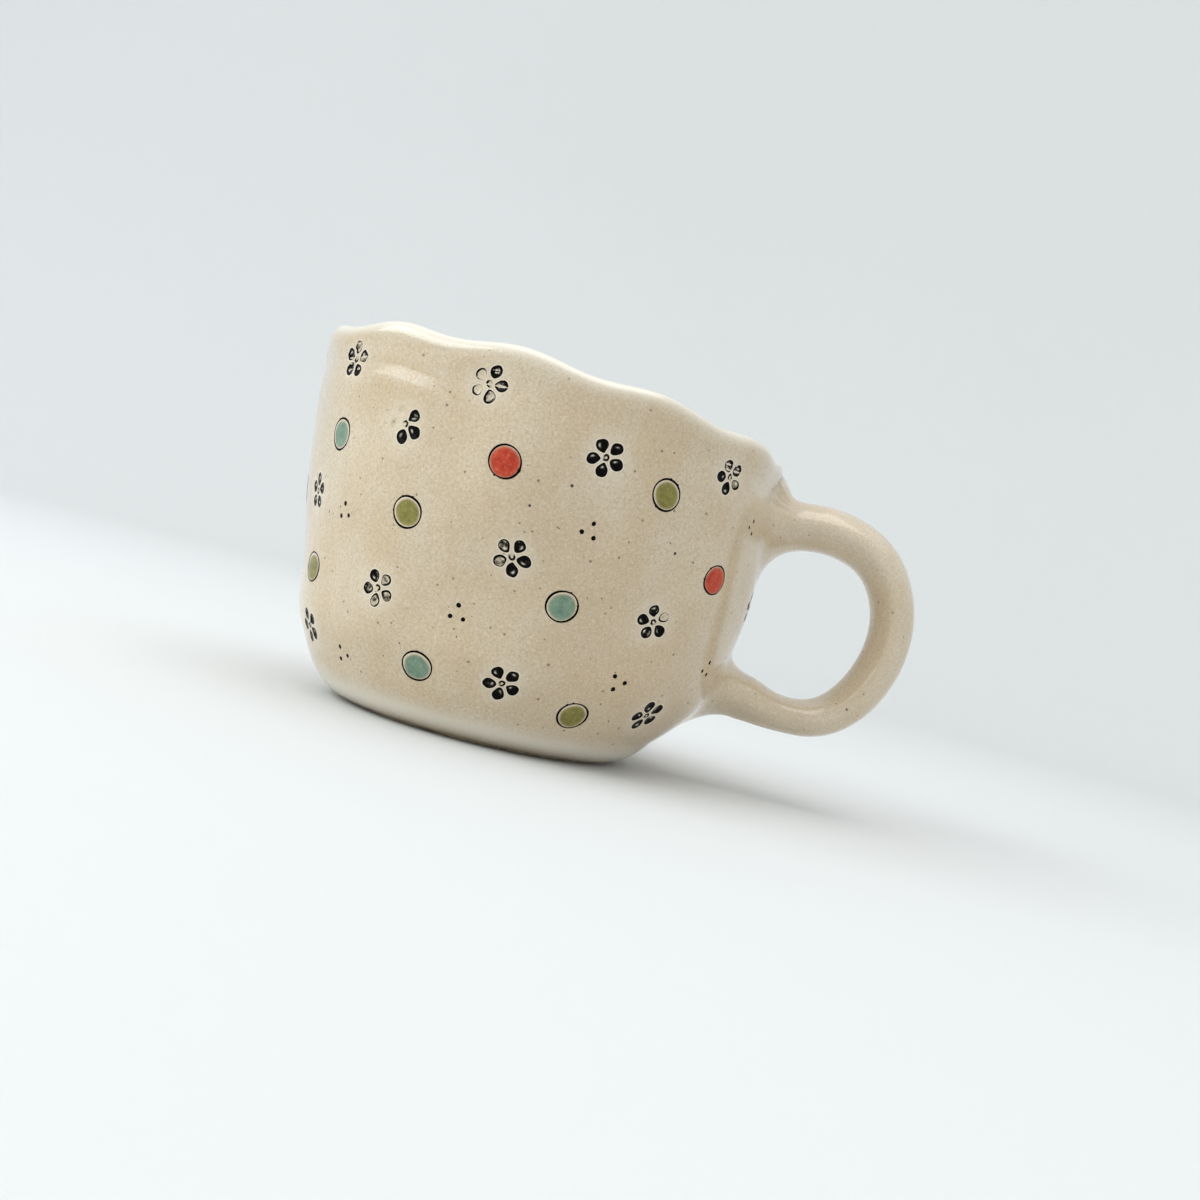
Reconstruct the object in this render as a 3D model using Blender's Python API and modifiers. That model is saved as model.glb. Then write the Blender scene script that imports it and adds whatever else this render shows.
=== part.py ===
"""A small hand-built stoneware mug: a paddled slab wall, a base disc, a coil
worked into the inside seam, a pulled handle and the clay flared round its roots.

Origin: centre of the base, on the plane that the mug stands on.
Axes: +Z up through the mouth, +X towards the handle.
"""
import math

import bmesh
import bpy
from mathutils import Matrix, Vector

# Driving dimensions, in metres.
RIM_RADIUS = 0.0476
RIM_HEIGHT = 0.0692
FLAT_RADIUS = 0.0220  # the underside is flat out to here
CORNER_BEND = 3.48  # higher is a squarer corner under the wall
WALL_BEND = 1.25  # higher is a straighter, more upright wall
FOOT_RIDGE = (0.0007, 0.0155, 0.0045)  # height, place and width of the fuller band low down
WAIST = (-0.0004, 0.0290, 0.0060)  # and of the slight hollow above it
WALL_THICKNESS = 0.0045
LIP_THICKNESS = 0.0042
HANDLE_SIDE_SWELL = 0.0048  # the wall is fuller where the handle is
SWELL_START, SWELL_END = 0.006, 0.066
RIM_DIPS = 11  # finger-width dips round the rim
DIP_DEPTH = 0.0004

JOINT_RADIUS = 0.0245  # where the wall meets the base disc
CLEARANCE = 0.0003
COIL_WIDTH = 0.0075
COIL_HEIGHT = 0.0013

HANDLE_WIDTH = 0.0128
HANDLE_THICKNESS = 0.0088
UPPER_ROOT = (0.0470, 0.0553)  # x, z on the wall
LOWER_ROOT = (0.0450, 0.0199)
ROOT_BITE = 0.0030  # how far a root's outline starts inside the wall
UPPER_FLARE = (0.0104, 0.0095)  # footprint radius, reach along the handle
LOWER_FLARE = (0.0090, 0.0085)
FLARE_LIP = 0.0010  # the flare's thickness where it ends on the handle
FLARE_WIDENING = HANDLE_WIDTH / HANDLE_THICKNESS  # as oval as the handle where it ends on it
FOOTPRINT_WIDENING = 1.14  # and rounder on the wall

WALL_SEGMENTS = 80


def clear_scene():
    for obj in list(bpy.data.objects):
        bpy.data.objects.remove(obj, do_unlink=True)


def new_collection(name, hidden=False):
    collection = bpy.data.collections.new(name)
    bpy.context.scene.collection.children.link(collection)
    collection.hide_render = hidden
    return collection


def principled(name, colour, roughness, coat=0.0):
    material = bpy.data.materials.new(name)
    material.use_nodes = True
    shader = material.node_tree.nodes["Principled BSDF"]
    shader.inputs["Base Color"].default_value = (*colour, 1.0)
    shader.inputs["Roughness"].default_value = roughness
    shader.inputs["Metallic"].default_value = 0.0
    shader.inputs["Coat Weight"].default_value = coat
    return material


# --- the body's shape -------------------------------------------------------


def bump(z, height, place, width):
    return height * math.exp(-(((z - place) / width) ** 2))


def wall_radius(z):
    """Outer radius at a height: a rounded corner that runs on into a flared wall."""
    rise = 1 - (1 - min(z / RIM_HEIGHT, 1.0)) ** WALL_BEND
    spread = (RIM_RADIUS - FLAT_RADIUS) * rise ** (1 / CORNER_BEND)
    return FLAT_RADIUS + spread + bump(z, *FOOT_RIDGE) + bump(z, *WAIST)


def height_at(radius):
    """The height where the corner reaches a radius, below the ridge."""
    spread = ((radius - FLAT_RADIUS) / (RIM_RADIUS - FLAT_RADIUS)) ** CORNER_BEND
    return RIM_HEIGHT * (1 - (1 - spread) ** (1 / WALL_BEND))


def outer_profile(first_radius, top, steps=18):
    """Points up the outside, closer together round the corner."""
    low = (height_at(first_radius) / top) ** (1 / 2.6)
    points = []
    for i in range(steps + 1):
        z = top * (low + (1 - low) * i / steps) ** 2.6
        points.append((wall_radius(z), z))
    return points


def inset(points, thickness):
    """The same line moved inwards, square to itself."""
    moved = []
    for i, (r, z) in enumerate(points):
        (r0, z0), (r1, z1) = points[max(i - 1, 0)], points[min(i + 1, len(points) - 1)]
        length = math.hypot(r1 - r0, z1 - z0)
        moved.append((r - thickness * (z1 - z0) / length, z + thickness * (r1 - r0) / length))
    return moved


def rim_wave(theta):
    """How far the rim stands above its nominal height, at each place round the mug."""
    front = theta + math.pi / 2 + math.radians(26)
    slow = -0.0011 * math.cos(theta) - 0.0004 * math.sin(theta)
    second = -0.0007 * math.cos(2 * theta) + 0.0006 * math.sin(2 * theta)
    dips = -DIP_DEPTH * (1 + 0.6 * math.cos(front)) * math.cos(RIM_DIPS * front)
    return slow + second + dips


def hand_shape(bm):
    """Turns a round body into the hand-built one: the handle side swells, the rim wanders."""
    for vertex in bm.verts:
        x, y, z = vertex.co
        theta = math.atan2(y, x)
        rise = min(max((z - SWELL_START) / (SWELL_END - SWELL_START), 0.0), 1.0)
        side = max(math.cos(theta), 0.0) ** 3
        swell = HANDLE_SIDE_SWELL * math.sin(math.pi * rise**0.6) ** 1.8 * side
        radius = math.hypot(x, y)
        if radius > FLAT_RADIUS:
            vertex.co.x *= (radius + swell) / radius
            vertex.co.y *= (radius + swell) / radius
        vertex.co.z += rim_wave(theta) * (z / RIM_HEIGHT) ** 2


def wall_section(lip_steps=6):
    """The wall's closed section: up the outside, over the lip, down the inside."""
    lip = LIP_THICKNESS / 2
    top = RIM_HEIGHT - lip
    outside = outer_profile(JOINT_RADIUS, top)
    inside = inset(outside, WALL_THICKNESS)
    inside[0] = (JOINT_RADIUS, inside[0][1])
    middle = wall_radius(top) - lip
    over = []
    for i in range(1, lip_steps):
        angle = math.pi * i / lip_steps
        over.append((middle + lip * math.cos(angle), top + lip * math.sin(angle)))
    inside[-1] = (middle - lip, top)
    return outside + over + list(reversed(inside))


def coil_section(steps=6):
    """A low clay coil smeared over the inside seam; its underside follows the floor and the wall."""
    inside = inset(outer_profile(JOINT_RADIUS, RIM_HEIGHT), WALL_THICKNESS)
    low = []
    for i in range(steps + 1):
        r = JOINT_RADIUS + COIL_WIDTH * (i / steps - 0.5)
        z = WALL_THICKNESS
        for (r0, z0), (r1, z1) in zip(inside, inside[1:]):
            if r0 <= r <= r1:
                z = z0 + (z1 - z0) * (r - r0) / (r1 - r0)
        low.append((r, z + CLEARANCE))
    high = []
    for i, (r, z) in enumerate(low):
        high.append((r, z + 0.0002 + COIL_HEIGHT * math.sin(math.pi * i / steps) ** 1.5))
    return list(reversed(high)) + low


# --- building blocks --------------------------------------------------------


def evaluated_mesh(obj):
    graph = bpy.context.evaluated_depsgraph_get()
    return bpy.data.meshes.new_from_object(obj.evaluated_get(graph))


def turned(name, section, collection, closed=True, segments=WALL_SEGMENTS):
    """Turns a section in the XZ plane round Z with a Screw modifier, and gives it as a mesh."""
    count = len(section)
    mesh = bpy.data.meshes.new(name)
    last = count if closed else count - 1
    edges = [(i, (i + 1) % count) for i in range(last)]
    mesh.from_pydata([(r, 0.0, z) for r, z in section], edges, [])
    obj = bpy.data.objects.new(name, mesh)
    collection.objects.link(obj)
    screw = obj.modifiers.new("turn", "SCREW")
    screw.steps = screw.render_steps = segments
    screw.use_merge_vertices = True
    screw.merge_threshold = 0.00001
    screw.use_smooth_shade = True
    obj.data = evaluated_mesh(obj)
    obj.data.name = name
    obj.modifiers.clear()
    return obj


def edit(obj, change):
    bm = bmesh.new()
    bm.from_mesh(obj.data)
    change(bm)
    bmesh.ops.remove_doubles(bm, verts=bm.verts, dist=0.00001)
    bmesh.ops.recalc_face_normals(bm, faces=bm.faces)
    bm.to_mesh(obj.data)
    bm.free()


def finish(obj, material):
    obj.data.materials.clear()
    obj.data.materials.append(material)
    obj.data.shade_smooth()
    obj.data.set_sharp_from_angle(angle=math.radians(40))


def as_cutter(obj):
    obj.hide_render = True
    obj.display_type = "WIRE"
    return obj


def cut(obj, *cutters):
    for cutter in cutters:
        boolean = obj.modifiers.new(f"clear {cutter.name}", "BOOLEAN")
        boolean.operation = "DIFFERENCE"
        boolean.solver = "EXACT"
        boolean.object = cutter


# --- the pieces -------------------------------------------------------------


def make_wall(collection):
    obj = turned("wall", wall_section(), collection)
    edit(obj, hand_shape)
    return obj


def make_base(collection):
    """The disc that the wall is luted to; its underside is the face that the mug stands on."""
    radius = JOINT_RADIUS - CLEARANCE
    bpy.ops.mesh.primitive_cylinder_add(
        vertices=WALL_SEGMENTS,
        radius=radius,
        depth=WALL_THICKNESS,
        location=(0, 0, WALL_THICKNESS / 2),
    )
    obj = bpy.context.object
    obj.name = obj.data.name = "base"
    for other in obj.users_collection:
        other.objects.unlink(obj)
    collection.objects.link(obj)
    return obj


def make_seam_coil(collection):
    obj = turned("seam_coil", coil_section(), collection)
    edit(obj, hand_shape)
    return obj


def make_wall_clearance(collection):
    """The body's outside, filled and grown by the gap that a luted piece keeps to it."""
    top = RIM_HEIGHT - LIP_THICKNESS / 2
    section = [(0.0, -CLEARANCE), (FLAT_RADIUS, -CLEARANCE)]
    section += inset(outer_profile(FLAT_RADIUS + 0.001, top), -CLEARANCE)
    section.append((wall_radius(top) + CLEARANCE, RIM_HEIGHT + 0.01))
    section.append((0.0, RIM_HEIGHT + 0.01))
    obj = turned("wall_clearance", section, collection, closed=False, segments=2 * WALL_SEGMENTS)
    edit(obj, hand_shape)
    return as_cutter(obj)


def handle_route():
    """Centre line in the XZ plane and a size factor: out of the wall, round, and back in."""
    (ux, uz), (lx, lz) = UPPER_ROOT, LOWER_ROOT
    return [
        (ux - ROOT_BITE, uz - 0.0006, 1.34),
        (ux + 0.0050, uz + 0.0006, 1.13),
        (ux + 0.0150, uz + 0.0020, 1.02),
        (ux + 0.0250, uz - 0.0012, 1.00),
        (ux + 0.0308, uz - 0.0098, 0.98),
        (ux + 0.0318, uz - 0.0200, 0.96),
        (ux + 0.0282, uz - 0.0302, 0.94),
        (ux + 0.0215, uz - 0.0368, 0.86),
        (lx + 0.0140, lz - 0.0022, 0.80),
        (lx + 0.0060, lz - 0.0004, 1.02),
        (lx - ROOT_BITE - 0.0010, lz + 0.0008, 1.26),
    ]


def make_handle(name, collection, guides, grow=0.0):
    """A pulled strap: an oval swept along the route, thinner towards its lower end."""
    outline = bpy.data.curves.new(f"{name}_outline", "CURVE")
    outline.dimensions = "2D"
    oval = outline.splines.new("POLY")
    sides = 26
    oval.points.add(sides - 1)
    for i, point in enumerate(oval.points):
        angle = 2 * math.pi * i / sides
        across = (HANDLE_WIDTH / 2 + grow) * math.cos(angle)
        through = (HANDLE_THICKNESS / 2 + grow) * math.sin(angle)
        point.co = (across, through, 0.0, 1.0)
    oval.use_cyclic_u = True
    shape = bpy.data.objects.new(f"{name}_outline", outline)
    guides.objects.link(shape)
    as_cutter(shape)

    curve = bpy.data.curves.new(f"{name}_curve", "CURVE")
    curve.dimensions = "3D"
    curve.bevel_mode = "OBJECT"
    curve.bevel_object = shape
    curve.use_fill_caps = True
    curve.resolution_u = 4
    spline = curve.splines.new("NURBS")
    route = handle_route()
    spline.points.add(len(route) - 1)
    for point, (x, z, size) in zip(spline.points, route):
        point.co = (x, 0.0, z, 1.0)
        point.radius = size
    spline.order_u = 3
    spline.use_endpoint_u = True
    swept = bpy.data.objects.new(f"{name}_curve", curve)
    collection.objects.link(swept)
    obj = bpy.data.objects.new(name, evaluated_mesh(swept))
    obj.data.name = name
    collection.objects.link(obj)
    bpy.data.objects.remove(swept, do_unlink=True)
    edit(obj, lambda bm: None)
    return obj


def make_root_flare(name, collection, root, lean, size, core, cutters):
    """Clay smeared round a handle root: a trumpet, turned about the handle's own line.

    core is the handle's half thickness there; the trumpet is opened up for it and for the wall.
    """
    footprint, reach = size
    top = core + FLARE_LIP
    section = [(0.0, reach)]
    steps = 8
    for i in range(steps + 1):
        angle = math.pi / 2 * i / steps
        r = footprint - (footprint - top) * math.sin(angle)
        section.append((r, reach * (1 - math.cos(angle))))
    section = [section[0]] + list(reversed(section[1:]))
    section += [(footprint, -0.006), (0.0, -0.006)]
    # A Screw profile runs down its outer side, top to bottom.
    obj = turned(name, section, collection, closed=False, segments=44)

    def widen(bm):
        for vertex in bm.verts:
            radius = math.hypot(vertex.co.x, vertex.co.y)
            spread = min(max((radius - top) / (footprint - top), 0.0), 1.0)
            vertex.co.y *= FLARE_WIDENING + (FOOTPRINT_WIDENING - FLARE_WIDENING) * spread

    edit(obj, widen)
    turn = Matrix.Rotation(math.radians(90) + lean, 4, "Y")
    obj.data.transform(Matrix.Translation(Vector((root[0], 0.0, root[1]))) @ turn)
    cut(obj, *cutters)
    return obj


def main():
    clear_scene()
    mug = new_collection("stoneware_mug")
    cutters = new_collection("cutters", hidden=True)
    glazed = principled("cream_glaze", (0.66, 0.58, 0.46), 0.16, coat=0.6)
    handle_glaze = principled("cream_glaze_handle", (0.68, 0.60, 0.48), 0.16, coat=0.6)
    bare = principled("bare_clay", (0.52, 0.42, 0.31), 0.85)
    inside = principled("inner_glaze", (0.70, 0.63, 0.51), 0.18, coat=0.5)

    wall_clear = make_wall_clearance(cutters)
    handle_clear = as_cutter(make_handle("handle_clearance", cutters, cutters, CLEARANCE))

    wall = make_wall(mug)
    base = make_base(mug)
    coil = make_seam_coil(mug)
    handle = make_handle("handle", mug, cutters)
    cut(handle, wall_clear)
    core = HANDLE_THICKNESS / 2
    upper = make_root_flare(
        "root_upper", mug, UPPER_ROOT, math.radians(-7), UPPER_FLARE, core * 1.10,
        (wall_clear, handle_clear),
    )
    lower = make_root_flare(
        "root_lower", mug, LOWER_ROOT, math.radians(10), LOWER_FLARE, core * 0.98,
        (wall_clear, handle_clear),
    )
    finish(wall, glazed)
    finish(base, bare)
    finish(coil, inside)
    for piece in (handle, upper, lower):
        finish(piece, handle_glaze)


main()
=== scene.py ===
"""The visual model of a small hand-built stoneware mug, built round its CAD frame.

The body is one surface, given by outside_point: how far round the mug, and how far along
its section. The stamped flowers, painted discs and pin dots are laid on that same surface.
Lengths are metres. +Z is up, +X is the handle's side, and -Y is the side the camera sees.
"""

import math

import bpy
import numpy as np
from mathutils import Matrix, Vector


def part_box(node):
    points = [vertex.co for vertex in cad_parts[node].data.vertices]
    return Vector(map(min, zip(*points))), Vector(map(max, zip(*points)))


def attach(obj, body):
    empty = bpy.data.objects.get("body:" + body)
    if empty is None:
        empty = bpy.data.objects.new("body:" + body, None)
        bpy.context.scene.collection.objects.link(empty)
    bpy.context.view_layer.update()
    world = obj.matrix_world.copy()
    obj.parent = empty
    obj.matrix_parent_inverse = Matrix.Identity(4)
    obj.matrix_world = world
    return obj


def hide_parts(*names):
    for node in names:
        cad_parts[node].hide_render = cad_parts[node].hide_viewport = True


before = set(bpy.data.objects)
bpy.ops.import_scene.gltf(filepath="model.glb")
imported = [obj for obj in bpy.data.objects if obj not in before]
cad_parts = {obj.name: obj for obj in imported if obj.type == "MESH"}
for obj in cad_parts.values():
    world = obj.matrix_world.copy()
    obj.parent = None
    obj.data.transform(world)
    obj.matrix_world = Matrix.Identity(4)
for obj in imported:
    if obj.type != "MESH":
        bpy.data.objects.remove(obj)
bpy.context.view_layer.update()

MM = 0.001
TAU = 2 * math.pi
BODY = "root"

# --- sizes ------------------------------------------------------------------

RIM_RADIUS = -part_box("wall")[0].x
RIM_HEIGHT = 69.2 * MM
FLAT_RADIUS = 22.0 * MM
CORNER_BEND = 3.48
WALL_BEND = 1.25
FOOT_RIDGE = (0.7 * MM, 15.5 * MM, 4.5 * MM)  # height, place, width
WAIST = (-0.4 * MM, 29.0 * MM, 6.0 * MM)
LIP_LINES = 9.0 * MM  # the finger lines round the lip start this far below it
PINCH = (-0.35 * MM, 62.2 * MM, 2.6 * MM)  # under the lip, where finger and thumb smooth it
WALL_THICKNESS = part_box("base")[1].z
LIP_THICKNESS = 4.2 * MM
HANDLE_SIDE_SWELL = 4.8 * MM
SWELL_START, SWELL_END = 6.0 * MM, 66.0 * MM
RIM_DIPS = 11
DIP_DEPTH = 0.4 * MM
COIL_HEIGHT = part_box("seam_coil")[1].z - WALL_THICKNESS
COIL_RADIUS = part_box("base")[1].x
GLAZE_EDGE = 27.0 * MM  # the glaze stops here, on the underside

HAND_WAVES = 14
HAND_WAVE_HEIGHT = 0.11 * MM
DENT_DEPTH = 0.28 * MM
DENT_WIDTH = 0.95 * MM

HANDLE_WIDTH = 12.8 * MM
HANDLE_THICKNESS = 8.9 * MM
HANDLE_PALE = 0.16  # the glaze on the handle is a little paler than the wall's
UPPER_ROOT = (47.0 * MM, 55.3 * MM)  # x and z, on the wall
LOWER_ROOT = (45.0 * MM, 19.9 * MM)
UPPER_REACH, LOWER_REACH = 9.5 * MM, 6.5 * MM  # how far out the smoothed clay starts
# How far that clay spreads along the wall: above the arm, beside it and below.
UPPER_FILLET = (6.2 * MM, 7.5 * MM, 12.0 * MM)
LOWER_FILLET = (4.0 * MM, 6.5 * MM, 8.5 * MM)
TAB_HEIGHT = 0.85 * MM  # the tab of clay pressed on above the upper root
FILLET_STEPS = 30
BLEND_ROWS = 7  # the last rows of a fillet take on the wall's own normals

FRONT = -math.pi / 2  # the direction that the pattern's azimuths are counted from

rng = np.random.default_rng(7)


# --- the body's surface -----------------------------------------------------


def bump(z, height, place, width):
    return height * np.exp(-(((z - place) / width) ** 2))


def wall_radius(z):
    rise = 1 - (1 - np.clip(z / RIM_HEIGHT, 0.0, 1.0)) ** WALL_BEND
    spread = (RIM_RADIUS - FLAT_RADIUS) * rise ** (1 / CORNER_BEND)
    return FLAT_RADIUS + spread + bump(z, *FOOT_RIDGE) + bump(z, *WAIST)


def section():
    """(r, z, s) along the body's section: from under the foot, up the outside, over the
    lip, down the inside and across the floor to the centre; s is the length so far."""
    lip = LIP_THICKNESS / 2
    top = RIM_HEIGHT - lip
    z = top * np.linspace(0.0, 1.0, 900) ** 2.6
    r = wall_radius(z)
    z = z[r > GLAZE_EDGE]
    r = r[r > GLAZE_EDGE]
    tangent_r, tangent_z = np.gradient(r), np.gradient(z)
    length = np.hypot(tangent_r, tangent_z)
    inner_r = r - WALL_THICKNESS * tangent_z / length
    inner_z = z + WALL_THICKNESS * tangent_r / length
    fade = np.clip((z - 0.6 * top) / (0.4 * top), 0.0, 1.0)
    inner_r += (WALL_THICKNESS - LIP_THICKNESS) * fade
    near_rim = np.clip((z - (RIM_HEIGHT - LIP_LINES)) / (2 * MM), 0.0, 1.0)
    near_rim *= np.clip((top - z) / (1.5 * MM), 0.0, 1.0)
    r = r + bump(z, *PINCH) + 0.06 * MM * near_rim * np.sin(TAU * z / (1.15 * MM))
    turn = np.linspace(0.0, math.pi, 60)[1:-1]
    over_r = r[-1] - lip + lip * np.cos(turn)
    over_z = top + lip * np.sin(turn)
    floor_r = np.linspace(inner_r[0], 0.0, 200)[1:]
    floor_z = np.full_like(floor_r, inner_z[0])
    all_r = np.concatenate([r, over_r, inner_r[::-1], floor_r])
    all_z = np.concatenate([z, over_z, inner_z[::-1], floor_z])
    down = np.arange(len(all_r)) > len(r) + len(over_r)
    coil = COIL_HEIGHT * np.exp(-(((all_r - COIL_RADIUS) / (2.6 * MM)) ** 2))
    all_z = all_z + np.where(down & (all_z < 12 * MM), coil * 0.7, 0.0)
    step = np.hypot(np.diff(all_r), np.diff(all_z))
    s = np.concatenate([[0.0], np.cumsum(step)])
    marks = {
        "rim": s[len(r) - 1 + len(over_r) // 2],
        "outside": s[len(r) - 1],
        "lip_inside": s[len(r) + len(over_r)] + 7 * MM,
        "end": s[-1],
    }
    return all_r, all_z, s, marks


SECTION_R, SECTION_Z, SECTION_S, MARK = section()


def rim_wave(theta):
    front = theta - FRONT + math.radians(26)
    slow = -1.1 * MM * np.cos(theta) - 0.4 * MM * np.sin(theta)
    second = -0.7 * MM * np.cos(2 * theta) + 0.6 * MM * np.sin(2 * theta)
    dips = -DIP_DEPTH * (1 + 0.6 * np.cos(front)) * np.cos(RIM_DIPS * front)
    return slow + second + dips


WAVES = [
    (
        rng.integers(2, 15),
        rng.uniform(-1, 1) * TAU / (34 * MM),
        rng.uniform(0, TAU),
        rng.uniform(0.4, 1.0),
    )
    for _ in range(HAND_WAVES)
]


def hand_waves(theta, z):
    """The soft unevenness that fingers and a paddle leave in the wall."""
    total = np.zeros_like(theta)
    for around, along, phase, height in WAVES:
        total += height * np.sin(around * theta + along * z + phase)
    return HAND_WAVE_HEIGHT * total * np.clip(z / (20 * MM), 0.0, 1.0)


DENTS = []  # (theta, s, radius) of each stamped petal


def dents(theta, s):
    """How deep the stamped petals press the wall in."""
    depth = np.zeros_like(theta)
    for at_theta, at_s, radius in DENTS:
        du = (np.mod(theta - at_theta + math.pi, TAU) - math.pi) * radius
        dv = s - at_s
        near = (np.abs(du) < 4 * DENT_WIDTH) & (np.abs(dv) < 4 * DENT_WIDTH)
        if near.any():
            far = (du[near] ** 2 + dv[near] ** 2) / DENT_WIDTH**2
            depth[near] = np.maximum(depth[near], DENT_DEPTH * np.exp(-far))
    return depth


def smooth_point(theta, s):
    """A point of the body before its stamps, from the angle round and the length along."""
    theta = np.asarray(theta, float)
    s = np.asarray(s, float)
    r = np.interp(s, SECTION_S, SECTION_R)
    z = np.interp(s, SECTION_S, SECTION_Z)
    rise = np.clip((z - SWELL_START) / (SWELL_END - SWELL_START), 0.0, 1.0)
    side = np.maximum(np.cos(theta), 0.0) ** 3
    swell = HANDLE_SIDE_SWELL * np.abs(np.sin(math.pi * rise**0.6)) ** 1.8 * side
    inward = np.clip(r / (8 * MM), 0.0, 1.0)
    r = r + (swell + hand_waves(theta, z)) * inward
    z = z + rim_wave(theta) * (z / RIM_HEIGHT) ** 2
    return np.stack([r * np.cos(theta), r * np.sin(theta), z], -1)


def normals_at(theta, s, step=0.25 * MM):
    turn = step / (40 * MM)
    around = smooth_point(theta + turn, s) - smooth_point(theta - turn, s)
    along = smooth_point(theta, s + step) - smooth_point(theta, s - step)
    normal = np.cross(around, along)
    return normal / np.linalg.norm(normal, axis=-1, keepdims=True)


def outside_point(theta, s, lift=0.0):
    """A point of the finished surface, stamps included, lifted off it by a small height."""
    theta = np.asarray(theta, float)
    s = np.broadcast_to(np.asarray(s, float), theta.shape)
    out = lift - dents(theta, s)
    return smooth_point(theta, s) + normals_at(theta, s) * np.asarray(out)[..., None]


HALOS = []  # (theta, s, radius) of each flower's centre


def pale_at(theta, s):
    """How much paler the surface is coloured: on the lip, partly glaze lying thick and partly a painted
    highlight; along the foot's turn, a painted highlight; round each stamp, partly glaze thinning and
    partly a painted highlight.
    """
    # the lip: partly pale glaze, partly painted highlight
    pale = np.exp(-np.abs((s - MARK["rim"]) / (3.0 * MM)) ** 3)
    # painted highlight along the foot's turn
    foot = 0.8 * np.exp(-(((s - length_at(3.0 * MM)) / (2.8 * MM)) ** 2))
    pale = np.maximum(pale, foot)
    for at_theta, at_s, radius in HALOS:
        du = (np.mod(theta - at_theta + math.pi, TAU) - math.pi) * radius
        far = np.hypot(du, s - at_s) / (4.4 * MM)
        # round each stamp: partly thinner glaze, partly painted highlight
        pale = np.maximum(pale, 0.26 * np.exp(-(far**4)))
    return pale


def length_at(z):
    """The length along the outside at a nominal height."""
    rows = SECTION_S <= MARK["outside"]
    return np.interp(z, SECTION_Z[rows], SECTION_S[rows])


# --- meshes -----------------------------------------------------------------


def add_piece(name, points, faces, material, replaces=()):
    mesh = bpy.data.meshes.new(name)
    mesh.from_pydata(points, [], faces)
    mesh.update()
    mesh.shade_smooth()
    obj = bpy.data.objects.new(name, mesh)
    bpy.context.scene.collection.objects.link(obj)
    mesh.materials.append(material)
    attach(obj, BODY)
    if replaces:
        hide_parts(*replaces)
    return obj


def grid_faces(rows, columns, offset=0, flip=False):
    """Quads over a grid of points stored row by row, its last column joined to its first."""
    i = np.arange(rows - 1)[:, None]
    j = np.arange(columns)[None, :]
    k = (j + 1) % columns
    quads = np.stack(
        [i * columns + j, i * columns + k, (i + 1) * columns + k, (i + 1) * columns + j], -1
    )
    quads = quads.reshape(-1, 4) + offset
    return (quads[:, ::-1] if flip else quads).tolist()


def set_attribute(obj, name, values):
    layer = obj.data.attributes.new(name, "FLOAT", "POINT")
    layer.data.foreach_set("value", np.asarray(values, np.float32).ravel())


# --- materials --------------------------------------------------------------


def node(tree, kind, **settings):
    made = tree.nodes.new(kind)
    for key, value in settings.items():
        setattr(made, key, value)
    return made


def noise(tree, vector, scale, detail=3.0, roughness=0.5):
    made = node(tree, "ShaderNodeTexNoise")
    made.inputs["Scale"].default_value = scale
    made.inputs["Detail"].default_value = detail
    made.inputs["Roughness"].default_value = roughness
    tree.links.new(vector, made.inputs["Vector"])
    return made.outputs["Fac"]


def ramp(tree, value, low, high, to_low=0.0, to_high=1.0):
    made = node(tree, "ShaderNodeMapRange", interpolation_type="SMOOTHSTEP")
    tree.links.new(value, made.inputs["Value"])
    for key, number in (
        ("From Min", low),
        ("From Max", high),
        ("To Min", to_low),
        ("To Max", to_high),
    ):
        made.inputs[key].default_value = number
    return made.outputs["Result"]


def maths(tree, operation, a, b):
    made = node(tree, "ShaderNodeMath", operation=operation)
    for socket, value in zip(made.inputs, (a, b)):
        if isinstance(value, (int, float)):
            socket.default_value = value
        else:
            tree.links.new(value, socket)
    return made.outputs[0]


def mix(tree, factor, a, b):
    made = node(tree, "ShaderNodeMix", data_type="RGBA", blend_type="MIX")
    for socket, value in zip((made.inputs[0], made.inputs[6], made.inputs[7]), (factor, a, b)):
        if isinstance(value, (int, float)):
            socket.default_value = value
        elif isinstance(value, tuple):
            socket.default_value = (*value, 1.0)
        else:
            tree.links.new(value, socket)
    return made.outputs[2]


def attribute(tree, name):
    return node(tree, "ShaderNodeAttribute", attribute_name=name).outputs["Fac"]


def new_material(name, roughness, specular=0.5, coat=0.5):
    material = bpy.data.materials.new(name)
    material.use_nodes = True
    tree = material.node_tree
    shader = tree.nodes["Principled BSDF"]
    shader.inputs["Roughness"].default_value = roughness
    shader.inputs["Specular IOR Level"].default_value = specular
    if roughness < 0.3:
        shader.inputs["Coat Weight"].default_value = coat
        shader.inputs["Coat Roughness"].default_value = 0.05
    position = node(tree, "ShaderNodeTexCoord").outputs["Object"]
    return material, tree, shader, position


def specks(tree, position, cells, share, small, large):
    """0 to 1, 1 inside the specks: a share of the cells hold one, each of its own size."""
    cell = node(tree, "ShaderNodeTexVoronoi", feature="F1")
    cell.inputs["Scale"].default_value = cells
    tree.links.new(position, cell.inputs["Vector"])
    split = node(tree, "ShaderNodeSeparateColor")
    tree.links.new(cell.outputs["Color"], split.inputs[0])
    size = ramp(tree, split.outputs[0], 0.0, 1.0, small, large)
    chosen = maths(tree, "LESS_THAN", split.outputs[1], share)
    edge = maths(tree, "SUBTRACT", size, cell.outputs["Distance"])
    inside = ramp(tree, edge, 0.0, 0.035)
    return maths(tree, "MULTIPLY", inside, chosen)


def bumped(tree, shader, height, strength, distance):
    made = node(tree, "ShaderNodeBump")
    made.inputs["Strength"].default_value = strength
    made.inputs["Distance"].default_value = distance
    tree.links.new(height, made.inputs["Height"])
    tree.links.new(made.outputs["Normal"], shader.inputs["Normal"])


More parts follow.
